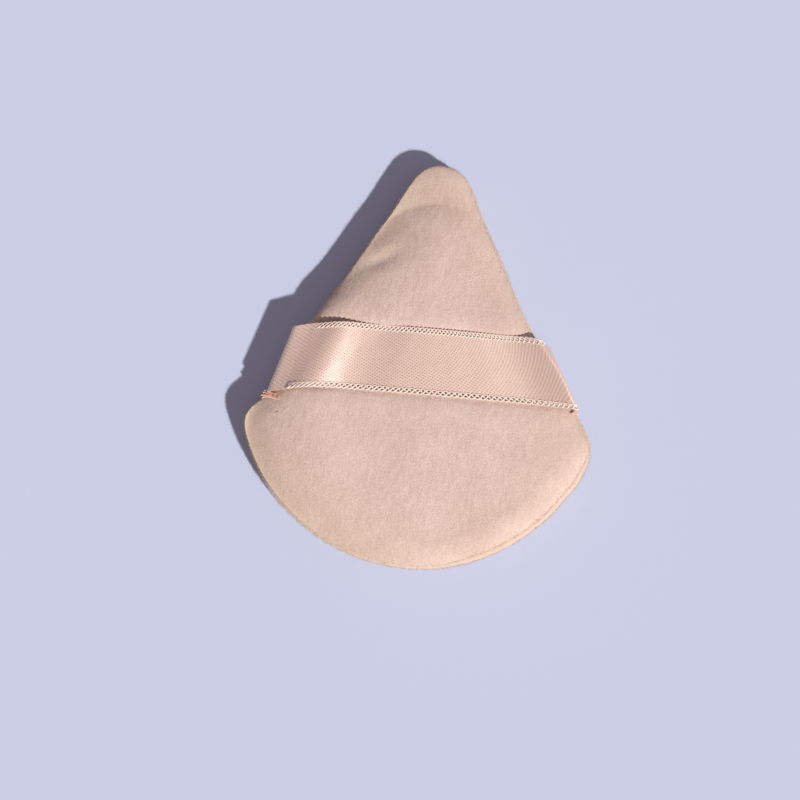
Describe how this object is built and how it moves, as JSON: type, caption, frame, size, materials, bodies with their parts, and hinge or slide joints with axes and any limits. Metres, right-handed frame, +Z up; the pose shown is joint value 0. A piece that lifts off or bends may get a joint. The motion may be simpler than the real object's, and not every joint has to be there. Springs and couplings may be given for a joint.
{
  "type": "powder puff",
  "caption": "Flat velour powder puff shaped as a rounded triangle, with a foam core and a satin ribbon finger strap sewn across its front face.",
  "frame": {"origin": "on the flat face that the puff rests on, under the middle of the outline", "axes": "+Z up through the thickness and out of the face that carries the ribbon, +Y towards the pointed tip, +X along the ribbon to the right"},
  "size_m": [0.0688, 0.0808, 0.011],
  "materials": {
    "velour": "short cut pile, beige, soft sheen along the nap",
    "foam": "open-cell polyurethane foam, cream",
    "seam_thread": "spun sewing thread, matched to the velour",
    "satin_ribbon": "polyester satin with woven picot edges, dusty peach",
    "tack_thread": "spun sewing thread, peach"
  },
  "bodies": {
    "puff": {"front_panel": "velour", "back_panel": "velour", "foam_core": "foam", "edge_seam_thread": "seam_thread", "closing_thread": "seam_thread", "ribbon_end_left": "satin_ribbon", "ribbon_end_right": "satin_ribbon", "ribbon_tack_left": "tack_thread", "ribbon_tack_right": "tack_thread"},
    "strap": {"ribbon_strap": "satin_ribbon"}
  },
  "joints": [
    {"name": "strap_lift", "type": "slide", "parent": "puff", "child": "strap", "axis": [0, 0, 1], "range_m": [0, 0.009]}
  ]
}
